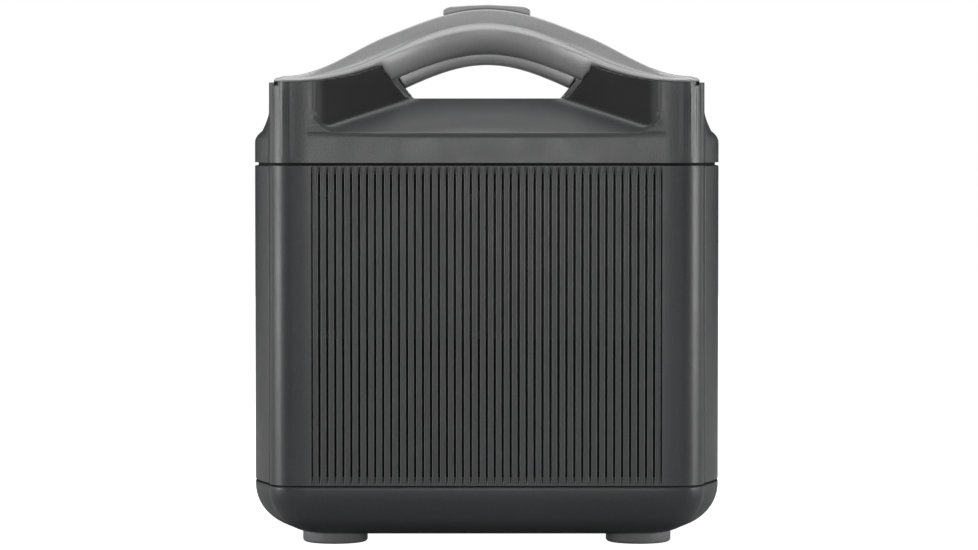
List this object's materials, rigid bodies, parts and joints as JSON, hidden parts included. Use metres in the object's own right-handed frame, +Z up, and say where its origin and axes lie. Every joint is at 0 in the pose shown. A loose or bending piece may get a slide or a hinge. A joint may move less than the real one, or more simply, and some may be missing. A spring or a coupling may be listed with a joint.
{
  "type": "portable power station",
  "caption": "Box-shaped power station with ribbed vent ends, arched end handles, rubber feet, display and sockets on its long sides.",
  "frame": {"origin": "centre of the footprint, on the surface the feet stand on", "axes": "+X to the long side with the display, +Y along the body to the far ribbed end, +Z up"},
  "size_m": [0.2411, 0.4, 0.266],
  "materials": {
    "tray_plastic": "fine grain",
    "shell_plastic": "fine grain",
    "seal_rubber": "matt",
    "handle_grey": "satin metallic paint",
    "pad_grey": "satin",
    "screw_steel": "zinc plated",
    "foot_rubber": "matt",
    "panel_gloss": "gloss",
    "display_glass": "gloss, smoked",
    "display_body": "moulded",
    "button_grey": "satin",
    "port_metal": "nickel plated",
    "socket_plastic": "moulded",
    "outlet_plastic": "moulded",
    "cover_rubber": "matt",
    "board_green": "solder mask",
    "pin_steel": "satin",
    "switch_orange": "satin",
    "breaker_red": "gloss",
    "fan_plastic": "moulded",
    "cell_holder_plastic": "moulded",
    "cell_sleeve": "shrink sleeve",
    "strip_nickel": "satin",
    "sheet_aluminium": "mill finish",
    "winding_copper": "enamelled",
    "capacitor_sleeve": "shrink sleeve",
    "screen_foam": "open foam"
  },
  "bodies": {
    "housing": {"bottom_tray": "tray_plastic", "end_shell_near": "shell_plastic", "end_shell_far": "shell_plastic", "front_fascia": "shell_plastic", "rear_fascia": "shell_plastic", "top_cap": "shell_plastic", "seam_seals": "seal_rubber", "handle_near": "handle_grey", "handle_far": "handle_grey", "handle_pad_near": "pad_grey", "handle_pad_far": "pad_grey", "handle_screws": "screw_steel", "foot_1": "foot_rubber", "foot_2": "foot_rubber", "foot_3": "foot_rubber", "foot_4": "foot_rubber", "foot_screws": "screw_steel", "port_panel": "panel_gloss", "display_window": "display_glass", "display_module": "display_body", "usb_a_ports": "port_metal", "usb_c_ports": "port_metal", "dc_jacks": "socket_plastic", "car_socket": "socket_plastic", "port_board": "board_green", "outlet_panel": "panel_gloss", "ac_outlet_1": "outlet_plastic", "ac_outlet_2": "outlet_plastic", "ac_outlet_3": "outlet_plastic", "ac_outlet_4": "outlet_plastic", "ac_inlet": "socket_plastic", "solar_inlet": "socket_plastic", "breaker_housing": "socket_plastic", "hinge_pins": "pin_steel", "fan_frame_1": "fan_plastic", "fan_frame_2": "fan_plastic", "fan_screws": "screw_steel", "cell_tray": "cell_holder_plastic", "cell_cover": "cell_holder_plastic", "battery_cells": "cell_sleeve", "bus_bars": "strip_nickel", "battery_board": "board_green", "chassis": "sheet_aluminium", "inverter_board": "board_green", "heat_sinks": "sheet_aluminium", "transformers": "winding_copper", "capacitors": "capacitor_sleeve", "charger_board": "board_green", "vent_screens": "screen_foam"},
    "main_button": {"main_button": "button_grey"},
    "usb_button": {"usb_button": "button_grey"},
    "dc_button": {"dc_button": "button_grey"},
    "ac_button": {"ac_button": "button_grey"},
    "breaker_button": {"breaker_button": "breaker_red"},
    "rate_switch": {"rate_switch": "switch_orange"},
    "car_socket_cap": {"car_socket_cap": "cover_rubber"},
    "ac_inlet_cover": {"ac_inlet_cover": "cover_rubber"},
    "solar_inlet_cover": {"solar_inlet_cover": "cover_rubber"},
    "fan_rotor_1": {"fan_rotor_1": "fan_plastic"},
    "fan_rotor_2": {"fan_rotor_2": "fan_plastic"}
  },
  "joints": [
    {"name": "main_button_press", "type": "slide", "parent": "housing", "child": "main_button", "axis": [-1, 0, 0], "range_m": [0, 0.0015], "stiffness_N_per_m": 400, "springref_m": -0.003},
    {"name": "usb_button_press", "type": "slide", "parent": "housing", "child": "usb_button", "axis": [-1, 0, 0], "range_m": [0, 0.0015], "stiffness_N_per_m": 400, "springref_m": -0.003},
    {"name": "dc_button_press", "type": "slide", "parent": "housing", "child": "dc_button", "axis": [-1, 0, 0], "range_m": [0, 0.0015], "stiffness_N_per_m": 400, "springref_m": -0.003},
    {"name": "ac_button_press", "type": "slide", "parent": "housing", "child": "ac_button", "axis": [1, 0, 0], "range_m": [0, 0.0015], "stiffness_N_per_m": 400, "springref_m": -0.003},
    {"name": "breaker_press", "type": "slide", "parent": "housing", "child": "breaker_button", "axis": [1, 0, 0], "range_m": [0, 0.002], "stiffness_N_per_m": 400, "springref_m": -0.003},
    {"name": "rate_switch_slide", "type": "slide", "parent": "housing", "child": "rate_switch", "axis": [0, 1, 0], "range_m": [0, 0.006]},
    {"name": "car_socket_cap_hinge", "type": "hinge", "parent": "housing", "child": "car_socket_cap", "pos_m": [0.1187, 0.092, 0.1045], "axis": [0, -1, 0], "range_deg": [0, 115]},
    {"name": "ac_inlet_cover_hinge", "type": "hinge", "parent": "housing", "child": "ac_inlet_cover", "pos_m": [-0.1172, 0.096, 0.089], "axis": [0, 1, 0], "range_deg": [0, 110]},
    {"name": "solar_inlet_cover_hinge", "type": "hinge", "parent": "housing", "child": "solar_inlet_cover", "pos_m": [-0.1172, 0.044, 0.085], "axis": [0, 1, 0], "range_deg": [0, 110]},
    {"name": "fan_1_spin", "type": "hinge", "parent": "housing", "child": "fan_rotor_1", "pos_m": [-0.042, -0.178, 0.138], "axis": [0, 1, 0], "continuous": true},
    {"name": "fan_2_spin", "type": "hinge", "parent": "housing", "child": "fan_rotor_2", "pos_m": [0.042, -0.178, 0.138], "axis": [0, 1, 0], "continuous": true}
  ]
}
